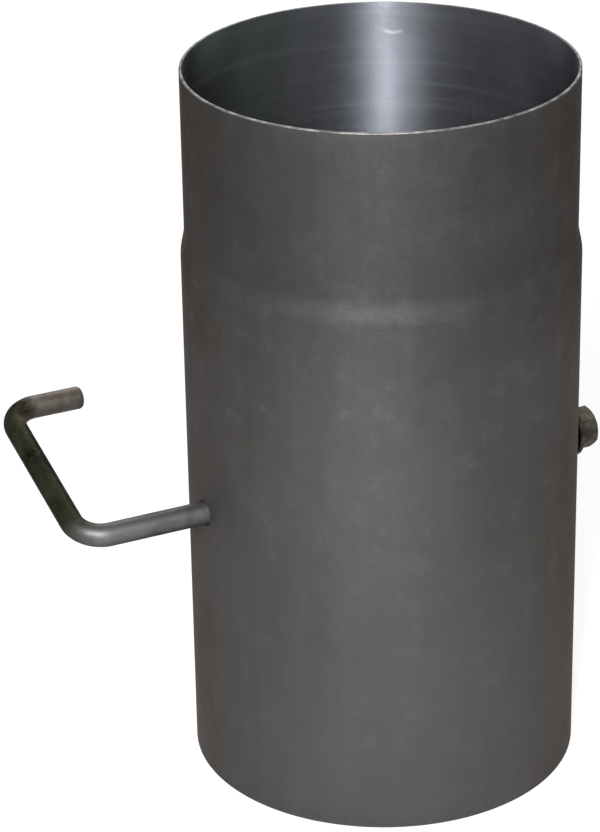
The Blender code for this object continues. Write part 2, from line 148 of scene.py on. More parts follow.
# Blade, clips and their fasteners
SEAT_GAP = 0.0003
SHEET = 0.0015
SHEET_BEND = 0.0008
BLADE_RADIUS = BORE_RADIUS - 0.002
BLADE_LOW, BLADE_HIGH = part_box("damper_blade")
BLADE_END = (BLADE_HIGH.x - BLADE_LOW.x) / 2
BLADE_RELIEF_RADIUS = 0.021
BLADE_EDGE = 0.00022
CUTTER_REACH = 0.01
BLADE_STEPS = 192
BITE_STEPS = 96
BORE_STEPS = 48
SHEET_BEND_STEPS = 6
SADDLE_STEPS = 24
CLIP_SPREAD = 0.038
CLIP_WIDTH = 0.016
CLIP_EAR = 0.018
CLIP_CORNER = 0.003
CLIP_CORNER_STEPS = 8
CLIP_EDGE = 0.0002
SCREW_RADIUS = 0.0025
SCREW_PITCH = 0.0008
SCREW_DEPTH = 0.55 * SCREW_PITCH
SCREW_CHAMFER = 0.0006
SCREW_SUNK = 0.001
SCREW_SIDES = 32
SCREW_OFFSET = 0.0125
SCREW_LENGTH = 0.012
SMALL_FLATS = 0.008
SCREW_HEAD_HEIGHT = 0.0035
SMALL_NUT_HEIGHT = 0.004
LOCK_RADIUS = 0.0046
LOCK_THICKNESS = 0.0012
LOCK_CLEARANCE = 0.00015
LOCK_GAP = radians(9)
LOCK_SPRUNG = 0.00012
LOCK_EDGE = 0.00012
LOCK_STEPS = 60
FASTENER_TURN = 37
UNDER_HEAD = -(SEAT_GAP / 2 + SHEET + SEAT_GAP)
LOCK_FOOT = SEAT_GAP / 2 + SHEET + SEAT_GAP
CLIP_NUT_FOOT = LOCK_FOOT + LOCK_THICKNESS + SEAT_GAP
SCREW_PLACES = [
    (clip_side * CLIP_SPREAD, ear_side * SCREW_OFFSET)
    for clip_side in (-1, 1)
    for ear_side in (-1, 1)
]

# Spring, washers and nut at the threaded end
SPRING_WIRE = 0.0012
SPRING_RADIUS = 0.0066
SPRING_TURNS = 2.25
SPRING_STEPS = 60
WIRE_SIDES = 16
NUT_FLATS = 0.013
NUT_SINK = 0.12
HEX_STEPS = 48
HEX_CHAMFER = radians(30)
CHAMFER_LEVELS = 5
WASHER_BORE = 0.0044
WASHER_ROUND = 0.3
WASHER_ROUND_STEPS = 5
WASHER_CHAMFER = 0.0001
WASHER_STEPS = 96

# Camera, fitted to the photograph
CAMERA_AZIMUTH = radians(26.51)
CAMERA_DISTANCE = 0.9736
CAMERA_HEIGHT = 0.5844
CAMERA_YAW = radians(-1.653)
CAMERA_PITCH = radians(25.330)
CAMERA_ROLL = radians(-1.023)
FOCAL_PIXELS = 3144.9
IMAGE_HEIGHT = 832
SENSOR = 36.0

# Shading, floor and light
SHARP_ANGLE = radians(38)
SHARP_FLATS = radians(30)
BEVEL_ANGLE = radians(40)
PATCH_LOW, PATCH_HIGH = 0.35, 0.65
FLOOR_RADIUS = 12.0
FLOOR_GAP = 0.0002
FLOOR_TONE = 0.25
FLOOR_LIFT = 0.77
WORLD_LIGHT = 0.35
LAMP_COLOUR = (0.96, 0.98, 1.0)


def make_camera():
    """The camera at the photograph's place: azimuth round the pipe, then yaw, pitch and roll."""
    place = PIPE_AXIS + Vector((
        -CAMERA_DISTANCE * sin(CAMERA_AZIMUTH), -CAMERA_DISTANCE * cos(CAMERA_AZIMUTH), CAMERA_HEIGHT,
    ))
    heading = CAMERA_AZIMUTH + CAMERA_YAW
    forward = Vector((
        sin(heading) * cos(CAMERA_PITCH), cos(heading) * cos(CAMERA_PITCH), -sin(CAMERA_PITCH),
    ))
    level = Vector((cos(heading), -sin(heading), 0))
    above = level.cross(forward)
    right = cos(CAMERA_ROLL) * level + sin(CAMERA_ROLL) * above
    up = -sin(CAMERA_ROLL) * level + cos(CAMERA_ROLL) * above
    turn = Matrix((right, up, -forward)).transposed()
    camera = bpy.data.objects.new("camera", bpy.data.cameras.new("camera"))
    camera.data.sensor_width = SENSOR
    camera.data.lens = FOCAL_PIXELS * SENSOR / IMAGE_HEIGHT
    camera.data.clip_start = 0.05
    camera.data.clip_end = 50
    camera.matrix_world = Matrix.Translation(place) @ turn.to_4x4()
    bpy.context.scene.collection.objects.link(camera)
    bpy.context.scene.camera = camera


def link_object(name, mesh, materials):
    thing = bpy.data.objects.new(name, mesh)
    bpy.context.scene.collection.objects.link(thing)
    for material in materials:
        mesh.materials.append(material)
    return thing


def mesh_piece(name, bm, materials):
    mesh = bpy.data.meshes.new(name)
    bm.to_mesh(mesh)
    bm.free()
    return link_object(name, mesh, materials)


def finish_piece(piece, body, slot, *nodes, sharp=SHARP_ANGLE):
    """Smooth shading, the body it rides on, and the CAD nodes it stands for; slot is not used."""
    piece.data.shade_smooth()
    piece.data.set_sharp_from_angle(angle=sharp)
    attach(piece, body)
    if nodes:
        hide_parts(*nodes)


def apply_modifiers(piece, *helpers):
    """The piece keeps its shape as a plain mesh, and the shapes that cut it go."""
    evaluated = piece.evaluated_get(bpy.context.evaluated_depsgraph_get())
    mesh = bpy.data.meshes.new_from_object(evaluated)
    piece.modifiers.clear()
    piece.data = mesh
    for helper in helpers:
        bpy.data.objects.remove(helper, do_unlink=True)
    return piece


def add_boolean(piece, helper, operation):
    modifier = piece.modifiers.new(operation, "BOOLEAN")
    modifier.object = helper
    modifier.operation = operation
    modifier.solver = "EXACT"
    modifier.material_mode = "TRANSFER"


def add_bevel(piece, width):
    modifier = piece.modifiers.new("edge", "BEVEL")
    modifier.width = width
    modifier.segments = 2
    modifier.limit_method = "ANGLE"
    modifier.angle_limit = BEVEL_ANGLE
    modifier.use_clamp_overlap = True


def keep_flat_faces(piece):
    """Normals weighted by face area, so that wide flat faces stay evenly lit up to their edges."""
    modifier = piece.modifiers.new("flat_faces", "WEIGHTED_NORMAL")
    modifier.keep_sharp = True


def cylinder(name, radius, low, high, centre=(0, 0), steps=64, materials=()):
    """A closed cylinder along Z from a low to a high end."""
    bm = bmesh.new()
    shift = Matrix.Translation((centre[0], centre[1], (low + high) / 2))
    bmesh.ops.create_cone(
        bm, cap_ends=True, segments=steps, radius1=radius, radius2=radius,
        depth=high - low, matrix=shift,
    )
    return mesh_piece(name, bm, materials)


def join_rings(bm, rings, loop):
    """Faces between neighbouring rings of points; a loop also joins the last ring to the first."""
    made = []
    count = len(rings[0])
    pairs = list(zip(rings, rings[1:] + rings[:1] if loop else rings[1:]))
    for lower, upper in pairs:
        for index in range(count):
            after = (index + 1) % count
            made.append(bm.faces.new((lower[index], lower[after], upper[after], upper[index])))
    return made


def rings_to_mesh(bm, rings, loop):
    verts = [[bm.verts.new(point) for point in ring] for ring in rings]
    join_rings(bm, verts, loop)
    if not loop:
        bm.faces.new(list(reversed(verts[0])))
        bm.faces.new(verts[-1])
    bmesh.ops.recalc_face_normals(bm, faces=bm.faces)


def turned_ring(outline, steps):
    """Rings of points turned about X from (x, radius) points."""
    angles = [2 * pi * step / steps for step in range(steps)]
    return [[(x, radius * cos(a), radius * sin(a)) for a in angles] for x, radius in outline]


def round_corner(centre, radius, start, end, steps=4):
    """Points of an arc round a centre, from one angle to another."""
    angles = [start + (end - start) * step / steps for step in range(steps + 1)]
    return [(centre[0] + radius * cos(a), centre[1] + radius * sin(a)) for a in angles]


# Node helpers for the finishes
def new_material(name):
    material = bpy.data.materials.new(name)
    material.use_nodes = True
    tree = material.node_tree
    return material, tree, tree.nodes["Principled BSDF"]


def node(tree, kind, links=(), **settings):
    made = tree.nodes.new(kind)
    for key, value in settings.items():
        setattr(made, key, value)
    for socket, value in dict(links).items():
        if isinstance(value, bpy.types.NodeSocket):
            tree.links.new(value, made.inputs[socket])
        else:
            made.inputs[socket].default_value = value
    return made


def stretched(tree, scale):
    """Object coordinates in metres, scaled by axis."""
    source = node(tree, "ShaderNodeTexCoord").outputs["Object"]
    return node(tree, "ShaderNodeMapping", {"Vector": source, "Scale": scale}).outputs[0]


def noise(tree, vector, scale, detail, roughness=0.55, distortion=0.0):
    """A noise by its scale, its levels of detail, and their roughness and distortion."""
    made = node(tree, "ShaderNodeTexNoise", {
        "Vector": vector, "Scale": scale, "Detail": detail,
        "Roughness": roughness, "Distortion": distortion,
    })
    return made.outputs["Fac"]


def spread(tree, value, low, high, to_low=0.0, to_high=1.0):
    """The value's range from low to high, mapped to another range."""
    made = node(tree, "ShaderNodeMapRange", {
        "Value": value, "From Min": low, "From Max": high, "To Min": to_low, "To Max": to_high,
    })
    return made.outputs[0]


def maths(tree, operation, first, second=0.0):
    made = tree.nodes.new("ShaderNodeMath")
    made.operation = operation
    for index, value in enumerate((first, second)):
        if isinstance(value, bpy.types.NodeSocket):
            tree.links.new(value, made.inputs[index])
        else:
            made.inputs[index].default_value = value
    return made.outputs[0]


def blend_colours(tree, share, first, second):
    """Two colours mixed by a share; a Mix node has its colours at sockets 6 and 7 and at output 2."""
    made = tree.nodes.new("ShaderNodeMix")
    made.data_type = "RGBA"
    for index, value in ((0, share), (6, first), (7, second)):
        if isinstance(value, bpy.types.NodeSocket):
            tree.links.new(value, made.inputs[index])
        else:
            made.inputs[index].default_value = value
    return made.outputs[2]


def patches(tree, value, first, second):
    """Two colours in soft patches that follow a value."""
    return blend_colours(tree, spread(tree, value, PATCH_LOW, PATCH_HIGH), first, second)


def towards(tree, tone, colour, value, low, high, most=1.0):
    """The tone turned to a colour, by a share up to most, as a value goes from low to high."""
    return blend_colours(tree, spread(tree, value, low, high, 0.0, most), tone, colour)


def grey(level, warm=0.0):
    """A near-grey colour, warmer or cooler by a share of its level."""
    return (level * (1 + warm), level, level * (1 - warm), 1.0)


def bump(tree, shader, height, strength, distance):
    made = node(tree, "ShaderNodeBump", {"Height": height, "Strength": strength, "Distance": distance})
    tree.links.new(made.outputs[0], shader.inputs["Normal"])


# Colours of the finishes, the darker one first where there are two
OXIDE = (0.050, 0.048, 0.045, 1), (0.062, 0.062, 0.064, 1)
STAINED = (0.071, 0.060, 0.050, 1)
ROLLED = grey(0.082, 0.02)
MOTTLE_DARK = (0.047, 0.044, 0.042, 1)
MOTTLE_LIGHT = (0.090, 0.090, 0.089, 1)
GRAIN = grey(0.052, 0.05)
BLACK = grey(0.0)
# Painted highlight and scuffs of wear below the shoulder
HIGHLIGHT_AND_SCUFFS = grey(0.088)
# Painted light towards the pipe's foot
FOOT_LIGHT = grey(0.098, 0.03)
OUTER_TINT = (0.42, 0.36, 0.33, 1)
# Inner tints, partly the steel's own: the greenish pair darkened as painted shade, the bluish pair
# lightened as painted light
SHADED_GREENISH = (0.056, 0.066, 0.059, 1), (0.088, 0.098, 0.092, 1)
LIT_BLUISH = (0.082, 0.086, 0.093, 1), (0.122, 0.127, 0.146, 1)
BANDED = (0.070, 0.073, 0.078, 1)
TURNED = (0.170, 0.176, 0.180, 1)
# Painted highlight of a small dent on the inner face
DENT_GLINT = (0.21, 0.22, 0.24, 1)
CUT_METAL = grey(0.055, 0.05), grey(0.21, 0.03)
DULL_BAR = grey(0.058, 0.02), grey(0.112)
# Painted shade on the handle's arm
ARM_SHADE = (0.006, 0.006, 0.003, 1), (0.024, 0.024, 0.015, 1)
BROWN_BAR = (0.062, 0.052, 0.044, 1), (0.125, 0.108, 0.094, 1)
BAR_STAIN = (0.05, 0.042, 0.03, 1)
BAR_TINT = (0.42, 0.40, 0.38, 1)
SMALL_TINT = (0.5, 0.47, 0.42, 1)
SHEET_GREYS = grey(0.17, 0.05), grey(0.26, -0.02)


def highlight_and_scuff_band(tree, height, scuffs):
    """Share of a painted highlight in the band where the shoulder starts: a faint even part, and most of it
    in short scuffs of wear.
    """
    worn = spread(tree, height, *HIGHLIGHT_BAND_RISE, 0.0, HIGHLIGHT_BAND_EVEN)
    worn = maths(tree, "ADD", worn, spread(tree, scuffs, 0.50, 0.68, 0.0, HIGHLIGHT_BAND_SCUFFS))
    worn = maths(tree, "MULTIPLY", worn, spread(tree, height, *HIGHLIGHT_BAND_LOW))
    return maths(tree, "MULTIPLY", worn, spread(tree, height, *HIGHLIGHT_BAND_HIGH))


def outer_steel():
    """Dark mill-finish sheet with cloudy oxide and fine grain, with painted shade towards the spigot's top,
    partly its own swaged tone, painted light towards the foot, and a painted highlight with scuffs below
    the shoulder.

    The tint stays above 0.32, below which such a dark metal's reflection falls to nothing at some angles.
    """
    material, tree, shader = new_material("outer_steel")
    metres = stretched(tree, (1, 1, 1))
    height = node(tree, "ShaderNodeSeparateXYZ", {"Vector": metres}).outputs["Z"]
    clouds = noise(tree, metres, 16, 4, 0.6, 0.4)
    stains = noise(tree, stretched(tree, (1, 1, 0.5)), 38, 5, 0.65, 0.8)
    mottle = noise(tree, metres, 95, 4, 0.7, 0.3)
    fine = noise(tree, metres, 420, 4, 0.65)
    scuffs = noise(tree, stretched(tree, (150, 150, 800)), 1.0, 3, 0.6, 0.8)
    rolled = noise(tree, stretched(tree, (150, 150, 5)), 1.0, 3, 0.6)
    tone = blend_colours(tree, spread(tree, clouds, 0.34, 0.66), *OXIDE)
    tone = towards(tree, tone, STAINED, stains, 0.50, 0.72, 0.5)
    tone = towards(tree, tone, ROLLED, rolled, 0.3, 0.7, 0.30)
    tone = towards(tree, tone, MOTTLE_DARK, mottle, 0.42, 0.30, 0.45)
    tone = towards(tree, tone, MOTTLE_LIGHT, mottle, 0.54, 0.70, 0.45)
    tone = towards(tree, tone, GRAIN, fine, 0.35, 0.75, 0.35)
    # Painted shade, partly the spigot's own swaged tone: darker towards the spigot's top
    tone = towards(tree, tone, BLACK, height, SPIGOT_SHADE_FROM, SHOULDER_TOP, SPIGOT_SHADE_SHARE)
    # Painted highlight with scuffs of wear below the shoulder
    tone = blend_colours(tree, highlight_and_scuff_band(tree, height, scuffs), tone, HIGHLIGHT_AND_SCUFFS)
    # Painted light: lighter towards the foot
    foot_light = spread(tree, height, FOOT_LIGHT_BELOW, SHOULDER_FOOT, FOOT_LIGHT_SHARE, 0.0)
    tone = blend_colours(tree, foot_light, tone, FOOT_LIGHT)
    tree.links.new(tone, shader.inputs["Base Color"])
    broad = spread(tree, clouds, 0.3, 0.7, 0.56, 0.64)
    rough = maths(tree, "ADD", broad, spread(tree, fine, 0.3, 0.7, -0.05, 0.05))
    tree.links.new(rough, shader.inputs["Roughness"])
    shader.inputs["Metallic"].default_value = 0.95
    shader.inputs["Specular IOR Level"].default_value = 0.0
    shader.inputs["Specular Tint"].default_value = OUTER_TINT
    bump(tree, shader, fine, 0.30, 0.00025)
    return material


def painted_dent_glint(tree):
    """Share of a painted highlight where a small dent on the inner face catches the light, below the upper
    rim: the lower half of a ring.
    """
    spot = node(tree, "ShaderNodeTexCoord").outputs["Object"]
    offset = node(tree, "ShaderNodeVectorMath", {0: spot, 1: DENT_PLACE}, operation="SUBTRACT")
    flat = node(tree, "ShaderNodeMapping", {"Vector": offset.outputs[0], "Scale": (1, 1, 2)}).outputs[0]
    reach = node(tree, "ShaderNodeVectorMath", {0: flat}, operation="LENGTH").outputs["Value"]
    from_ring = maths(tree, "ABSOLUTE", maths(tree, "SUBTRACT", reach, DENT_RADIUS))
    ring = spread(tree, from_ring, DENT_WIDTH, 0.0, 0.0, DENT_STRENGTH)
    rise = node(tree, "ShaderNodeSeparateXYZ", {"Vector": flat}).outputs["Z"]
    return maths(tree, "MULTIPLY", ring, spread(tree, rise, 0.0, -DENT_RADIUS / 2))


def inner_steel():
    """The inner face, less dirty than the outside: a shine drawn out along the pipe, faint turning lines
    and tinted bands; its greenish and bluish tints carry painted shade on the left and painted light on the
    right.
    """
    material, tree, shader = new_material("inner_steel")
    grain = noise(tree, stretched(tree, (5200, 5200, 2600)), 1.0, 2, 0.6)
    metres = stretched(tree, (1, 1, 1))
    clouds = noise(tree, metres, 20, 4, 0.6, 0.4)
    bands = noise(tree, stretched(tree, (70, 70, 3)), 1.0, 3, 0.6)
    rings = noise(tree, stretched(tree, (10, 10, 520)), 1.0, 4, 0.7)
    across = node(tree, "ShaderNodeSeparateXYZ", {"Vector": metres}).outputs["X"]
    # Painted shade on the left in the greenish tint, painted light on the right in the bluish tint
    shaded_green = patches(tree, clouds, *SHADED_GREENISH)
    lit_blue = patches(tree, clouds, *LIT_BLUISH)
    tone = towards(tree, shaded_green, lit_blue, across, SHADED_GREEN_X, LIT_BLUE_X)
    tone = towards(tree, tone, BANDED, bands, 0.40, 0.62, 0.2)
    tone = towards(tree, tone, TURNED, rings, 0.50, 0.70, 0.25)
    # Painted highlight of a small dent
    tone = blend_colours(tree, painted_dent_glint(tree), tone, DENT_GLINT)
    tree.links.new(tone, shader.inputs["Base Color"])
    turned = spread(tree, rings, 0.3, 0.7, -0.04, 0.04)
    rough = maths(tree, "ADD", turned, spread(tree, grain, 0.35, 0.65, 0.36, 0.66))
    tree.links.new(rough, shader.inputs["Roughness"])
    shader.inputs["Metallic"].default_value = 0.92
    shader.inputs["Specular IOR Level"].default_value = 0.1
    shader.inputs["Specular Tint"].default_value = grey(0.32)
    shader.inputs["Anisotropic"].default_value = 0.95
    shader.inputs["Anisotropic Rotation"].default_value = 0.25
    tangent = node(tree, "ShaderNodeTangent", direction_type="RADIAL", axis="Z")
    tree.links.new(tangent.outputs[0], shader.inputs["Tangent"])
    bump(tree, shader, rings, 0.10, 0.0001)
    return material


def cut_steel():
    """Bare metal where the sheet was cut, brighter than its faces."""
    material, tree, shader = new_material("cut_steel")
    metres = stretched(tree, (1, 1, 1))
    worn = noise(tree, metres, 220, 4, 0.65)
    tone = patches(tree, worn, *CUT_METAL)
    tree.links.new(tone, shader.inputs["Base Color"])
    shader.inputs["Roughness"].default_value = 0.5
    shader.inputs["Metallic"].default_value = 0.85
    shader.inputs["Specular Tint"].default_value = grey(0.36)
    bump(tree, shader, noise(tree, metres, 1400, 2), 0.2, 0.0001)
    return material


def rod_steel():
    """Drawn bar: dull grey on the spindle, darkened to near black on the arm as painted shade, brown at its
    end.
    """
    material, tree, shader = new_material("rod_steel")
    metres = stretched(tree, (1, 1, 1))
    clouds = noise(tree, metres, 70, 4, 0.6, 0.4)
    fine = noise(tree, metres, 800, 4, 0.65)
    offset = node(tree, "ShaderNodeVectorMath", {0: metres, 1: SPINDLE}, operation="SUBTRACT").outputs[0]
    outward = (0, cos(HANDLE_LIFT), sin(HANDLE_LIFT))
    arm = node(tree, "ShaderNodeVectorMath", {0: offset, 1: outward}, operation="DOT_PRODUCT")
    reach = arm.outputs["Value"]
    inward = node(tree, "ShaderNodeSeparateXYZ", {"Vector": offset}).outputs["X"]
    wander = spread(tree, clouds, 0.0, 1.0, -BORDER_WANDER, BORDER_WANDER)
    dull = patches(tree, clouds, *DULL_BAR)
    dark = patches(tree, clouds, *ARM_SHADE)
    brown = patches(tree, clouds, *BROWN_BAR)
    # Painted shade: the arm darkened to near black
    tone = towards(tree, dull, dark, maths(tree, "ADD", reach, wander), *ARM_SHADE_REACH)
    past_bend = spread(tree, maths(tree, "ADD", inward, wander), *BROWN_X)
    on_return = maths(tree, "MULTIPLY", past_bend, spread(tree, reach, *BROWN_REACH))
    tone = blend_colours(tree, on_return, tone, brown)
    tone = towards(tree, tone, BAR_STAIN, fine, 0.55, 0.75, 0.5)
    tree.links.new(tone, shader.inputs["Base Color"])
    tree.links.new(spread(tree, clouds, 0.3, 0.7, 0.38, 0.52), shader.inputs["Roughness"])
    shader.inputs["Metallic"].default_value = 0.75
    shader.inputs["Specular IOR Level"].default_value = 0.10
    shader.inputs["Specular Tint"].default_value = BAR_TINT
    bump(tree, shader, fine, 0.3, 0.0002)
    return material


def small_steel(name, low, high, rough, warm):
    """Finish of the small fasteners: dull plated or blackened steel, browned in patches."""
    material, tree, shader = new_material(name)
    metres = stretched(tree, (1, 1, 1))
    clouds = noise(tree, metres, 300, 4, 0.6, 0.3)
    stains = noise(tree, metres, 130, 4, 0.65, 0.5)
    brown = (low * 0.55, low * 0.42, low * 0.28, 1)
    tone = patches(tree, clouds, grey(low, warm), grey(high, warm / 2))
    tone = towards(tree, tone, brown, stains, 0.45, 0.65, 0.7)
    tree.links.new(tone, shader.inputs["Base Color"])
    tree.links.new(spread(tree, clouds, 0.3, 0.7, rough - 0.06, rough + 0.06), shader.inputs["Roughness"])
    shader.inputs["Metallic"].default_value = 0.75
    shader.inputs["Specular Tint"].default_value = SMALL_TINT
    bump(tree, shader, noise(tree, metres, 2500, 2), 0.15, 0.00005)
    return material


def blade_steel():
    """Sheet of the blade and clips, in two greys, with faint rolling lines."""
    material, tree, shader = new_material("blade_steel")
    metres = stretched(tree, (1, 1, 1))
    clouds = noise(tree, metres, 28, 4, 0.6, 0.5)
    lines = noise(tree, stretched(tree, (900, 14, 14)), 1.0, 2)
    tone = patches(tree, clouds, *SHEET_GREYS)
    tree.links.new(tone, shader.inputs["Base Color"])
    tree.links.new(spread(tree, clouds, 0.3, 0.7, 0.38, 0.5), shader.inputs["Roughness"])
    shader.inputs["Metallic"].default_value = 0.6
    bump(tree, shader, lines, 0.12, 0.0001)
    return material


# Pipe
def blend_shoulder(share):
    return (1 - cos(pi * share)) / 2


def wall_radius(height, foot_radius, top_radius):
    """Radius of the wall's face at a height, through the S-shaped shoulder."""
    share = min(max((height - SHOULDER_FOOT) / SHOULDER_LENGTH, 0), 1)
    return foot_radius + (top_radius - foot_radius) * blend_shoulder(share)


def wall_heights():
    """Heights of the wall's rings, closer together on the shoulder."""
    top = PIPE_LENGTH - RIM_ROUND
    body = SHOULDER_FOOT - RIM_ROUND
    spigot = top - SHOULDER_TOP
    heights = [RIM_ROUND + body * step / BODY_RINGS for step in range(BODY_RINGS)]
    heights += [SHOULDER_FOOT + SHOULDER_LENGTH * step / SHOULDER_RINGS for step in range(SHOULDER_RINGS)]
    heights += [SHOULDER_TOP + spigot * step / SPIGOT_RINGS for step in range(SPIGOT_RINGS + 1)]
    return heights


def on_face(points, face):
    """Points of the wall's outline, each with the face that starts there."""
    return [(radius, height, face) for radius, height in points]


def pipe_section():
    """The wall's closed outline as (radius, height, face), its upper rim cut steel up to the inner edge."""
    heights = wall_heights()
    outer = [(wall_radius(z, BODY_RADIUS, SPIGOT_RADIUS), z) for z in heights]
    inner = [(wall_radius(z, BORE_RADIUS, SPIGOT_RADIUS - PIPE_WALL), z) for z in reversed(heights)]
    top = PIPE_LENGTH - RIM_ROUND
    over = round_corner((SPIGOT_RADIUS - RIM_ROUND, top), RIM_ROUND, 0, pi / 2)
    under = round_corner((SPIGOT_RADIUS - PIPE_WALL + RIM_ROUND, top), RIM_ROUND, pi / 2, pi)
    low_in = round_corner((BORE_RADIUS + RIM_ROUND, RIM_ROUND), RIM_ROUND, pi, 3 * pi / 2)
    low_out = round_corner((BODY_RADIUS - RIM_ROUND, RIM_ROUND), RIM_ROUND, 3 * pi / 2, 2 * pi)
    return [
        *on_face(outer, OUTER_FACE), *on_face(over[1:], CUT_FACE),
        *on_face(under[:-1] + inner, INNER_FACE), *on_face(low_in[1:] + low_out[:-1], CUT_FACE),
    ]


def make_pipe(outer, cut, inner):
    """The turned wall with the spindle's two holes; a face between two finishes is a cut one."""
    section = pipe_section()
    bm = bmesh.new()
    rings = []
    for radius, height, _ in section:
        ring = []
        for step in range(PIPE_STEPS):
            angle = 2 * pi * step / PIPE_STEPS
            spot = PIPE_AXIS + Vector((radius * cos(angle), radius * sin(angle), height))
            ring.append(bm.verts.new(spot))
        rings.append(ring)
    faces = join_rings(bm, rings, loop=True)
    for index, face in enumerate(faces):
        here = section[index // PIPE_STEPS][2]
        after = section[(index // PIPE_STEPS + 1) % len(section)][2]
        face.material_index = here if here == after else CUT_FACE
    bmesh.ops.recalc_face_normals(bm, faces=bm.faces)
    pipe = mesh_piece("pipe_wall", bm, [outer, cut, inner])
    reach = 2 * BODY_RADIUS
    bore = cylinder("bore", ROD_RADIUS + HOLE_CLEARANCE, -reach, reach, materials=[cut])
    bore.matrix_world = Matrix.Translation(SPINDLE) @ Matrix.Rotation(pi / 2, 4, "Y")
    add_boolean(pipe, bore, "DIFFERENCE")
    apply_modifiers(pipe, bore)
    finish_piece(pipe, "pipe", "pipe_steel", "pipe_shell")


def weld_face(sign, foot_radius, top_radius, proud):
    """Rings of the weld's bead on one face of the wall: sign 1 outside, -1 inside."""
    rings = []
    length = PIPE_LENGTH - 2 * WELD_END
    count = int(length / WELD_RIPPLE * WELD_RIPPLE_STEPS)
    for step in range(count + 1):
        height = WELD_END + length * step / count
        radius = wall_radius(height, foot_radius, top_radius)
        ripple = 1 - WELD_WAVE * (1 - sin(2 * pi * height / WELD_RIPPLE))
        ring = []
        for place in range(-WELD_SIDE_STEPS, WELD_SIDE_STEPS + 1):
            across = place / WELD_SIDE_STEPS
            crown = 1 - across * across
            rise = proud * ripple * crown - WELD_EDGE_SINK
            angle = WELD_ANGLE + across * WELD_WIDTH / 2 / radius
            reach = radius + sign * rise
            ring.append((reach * cos(angle), reach * sin(angle), height + WELD_LAG * crown))
        for place in (1, -1):
            angle = WELD_ANGLE + place * WELD_WIDTH / 2 / radius
            reach = radius - sign * WELD_FOOT_SINK
            ring.append((reach * cos(angle), reach * sin(angle), height))
        rings.append([Vector(point) + PIPE_AXIS for point in ring])
    return rings


def make_weld(outer, inner):
    """The lengthwise seam weld, with its ripples, on both faces of the wall."""
    faces = (
        ("weld_outside", 1, BODY_RADIUS, SPIGOT_RADIUS, WELD_PROUD, outer),
        ("weld_inside", -1, BORE_RADIUS, SPIGOT_RADIUS - PIPE_WALL, WELD_PROUD_INSIDE, inner),
    )
    for name, sign, foot_radius, top_radius, proud, steel in faces:
        bm = bmesh.new()
        rings_to_mesh(bm, weld_face(sign, foot_radius, top_radius, proud), loop=False)
        finish_piece(mesh_piece(name, bm, [steel]), "pipe", "pipe_steel")


# Rod and handle
def rod_path():
    """Points and directions along the rod from its threaded end to the handle's tip."""
    along = Vector((1, 0, 0))
    outward = Vector((0, 1, 0))
    first = Vector((HANDLE_X, 0, 0))
    second = first + HANDLE_ARM * outward
    tip = second + HANDLE_RETURN * along
    path = []

    def run(start, end, step):
        count = max(1, int((end - start).length / step))
        for index in range(count):
            path.append((start.lerp(end, index / count), (end - start).normalized()))

    def bend(corner, before, after):
        centre = corner + HANDLE_BEND * (after - before)
        for index in range(BEND_STEPS):
            turn = pi / 2 * index / BEND_STEPS
            spot = centre - HANDLE_BEND * after * cos(turn) + HANDLE_BEND * before * sin(turn)
            path.append((spot, before * cos(turn) + after * sin(turn)))

    run(Vector((SPINDLE_END, 0, 0)), Vector((THREAD_START, 0, 0)), THREAD_PITCH / THREAD_RINGS)
    run(Vector((THREAD_START, 0, 0)), first + HANDLE_BEND * along, RUN_STEP)
    bend(first, -along, outward)
    run(first + HANDLE_BEND * outward, second - HANDLE_BEND * outward, RUN_STEP)
    bend(second, outward, along)
    run(second + HANDLE_BEND * along, tip - TIP_LENGTH * along, RUN_STEP)
    for index in range(TIP_RINGS + 1):
        turn = pi / 2 * index / TIP_RINGS
        path.append((tip - TIP_LENGTH * (1 - sin(turn)) * along, along))
    return path


def thread_flank(turns):
    """Share of the thread's depth at a number of turns: flat crest, two flanks, flat root."""
    return min(1.0, max(0.0, abs(2 * (turns % 1) - 1) * FLANK_SLOPE - FLANK_START))


def thread_cut(x, angle):
    """How deep the thread is cut below the rod's face, running out towards the pipe."""
    if x < THREAD_START:
        return 0.0
    fade = min(1.0, (x - THREAD_START) / (2 * THREAD_PITCH))
    return THREAD_DEPTH * thread_flank(x / THREAD_PITCH + angle / (2 * pi)) * fade


def make_rod():
    """The bent round bar, threaded at one end, rounded at the other and a little flattened in its bends."""
    path = rod_path()
    bm = bmesh.new()
    rings = []
    last = len(path) - 1
    for index, (spot, heading) in enumerate(path):
        across = heading.cross(Vector((0, 0, 1))).normalized()
        up = across.cross(heading)
        tip_share = max(0, TIP_RINGS - (last - index)) / TIP_RINGS
        inset = TIP_INSET * (1 - cos(pi / 2 * tip_share))
        threaded = spot.x > THREAD_START
        chamfer = max(0.0, END_CHAMFER - (SPINDLE_END - spot.x)) if threaded else 0.0
        bent = max(abs(heading.x), abs(heading.y)) < STRAIGHT_HEADING
        squeeze = BEND_SQUEEZE if bent else 1.0
        ring = []
        for side in range(ROD_SIDES):
            angle = 2 * pi * side / ROD_SIDES
            radius = ROD_RADIUS - max(thread_cut(spot.x, angle), chamfer) - inset
            offset = across * (radius * cos(angle)) + up * (radius * squeeze * sin(angle))
            ring.append(spot + offset)
        rings.append(ring)
    rings_to_mesh(bm, rings, loop=False)
    rod = mesh_piece("handle_rod", bm, [rod_steel()])
    rod.data.transform(SPIN)
    finish_piece(rod, "damper", "rod_steel", "damper_spindle")


